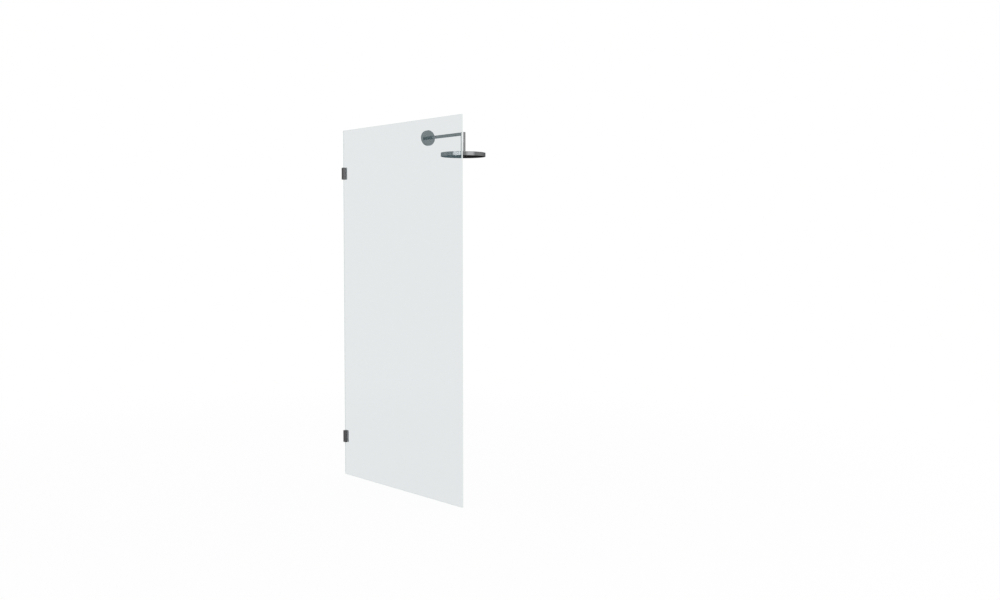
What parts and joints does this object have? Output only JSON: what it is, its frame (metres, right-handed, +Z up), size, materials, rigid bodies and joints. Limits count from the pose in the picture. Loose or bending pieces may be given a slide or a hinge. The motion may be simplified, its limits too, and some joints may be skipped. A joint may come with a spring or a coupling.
{
  "type": "fixed shower panel",
  "caption": "Frameless fixed glass shower panel on wall clamps, with a wall-mounted shower arm, a drop tube and a tilting round overhead shower head.",
  "frame": {"origin": "wall plane, middle of the glass's thickness, bottom edge of the glass", "axes": "+X away from the wall along the panel, +Y towards the shower side of the glass, +Z up"},
  "size_m": [1.221, 0.7775, 2.139],
  "materials": {
    "clear_glass": "clear toughened glass, polished edges",
    "clamp_metal": "polished chrome over brass",
    "shower_chrome": "polished chrome",
    "inner_steel": "plain stainless steel",
    "brass": "machined brass",
    "gasket": "matt grey rubber",
    "seal_rubber": "matt black rubber",
    "white_plastic": "moulded white acetal",
    "spray_plastic": "black moulded plastic",
    "nozzle_rubber": "dark grey silicone"
  },
  "bodies": {
    "fixed": {"glass_panel": "clear_glass", "upper_clamp_body": "clamp_metal", "upper_clamp_front_gasket": "gasket", "upper_clamp_rear_gasket": "gasket", "upper_clamp_pressure_plate": "inner_steel", "upper_clamp_edge_pad": "gasket", "upper_clamp_set_screws": "inner_steel", "lower_clamp_body": "clamp_metal", "lower_clamp_front_gasket": "gasket", "lower_clamp_rear_gasket": "gasket", "lower_clamp_pressure_plate": "inner_steel", "lower_clamp_edge_pad": "gasket", "lower_clamp_set_screws": "inner_steel", "inlet_nipple": "brass", "arm_tube": "shower_chrome", "drop_tube": "shower_chrome", "drop_tube_cap": "shower_chrome", "outlet_bush": "brass", "filter_washer": "seal_rubber", "flow_regulator": "white_plastic", "ball_stem": "shower_chrome"},
    "rose": {"rose": "shower_chrome", "rose_o_ring": "seal_rubber", "rose_wall_seal": "seal_rubber"},
    "lower_seat": {"ball_seat_lower": "white_plastic"},
    "upper_seat": {"ball_seat_upper": "white_plastic"},
    "head": {"retaining_nut": "shower_chrome", "head_shell": "shower_chrome", "head_hub": "brass", "spray_face": "spray_plastic", "nozzle_mat": "nozzle_rubber", "face_seal": "seal_rubber", "face_screw": "inner_steel"}
  },
  "joints": [
    {"name": "rose_slide", "type": "slide", "parent": "fixed", "child": "rose", "axis": [1, 0, 0], "range_m": [0, 0.3]},
    {"name": "head_tilt_y", "type": "hinge", "parent": "fixed", "child": "lower_seat", "pos_m": [0.38, 0.628, 1.97], "axis": [0, 1, 0], "range_deg": [-10, 10]},
    {"name": "head_tilt_x", "type": "hinge", "parent": "lower_seat", "child": "upper_seat", "pos_m": [0.38, 0.628, 1.97], "axis": [1, 0, 0], "range_deg": [-10, 10]},
    {"name": "head_spin", "type": "hinge", "parent": "upper_seat", "child": "head", "pos_m": [0.38, 0.628, 1.97], "axis": [0, 0, 1], "continuous": true}
  ]
}
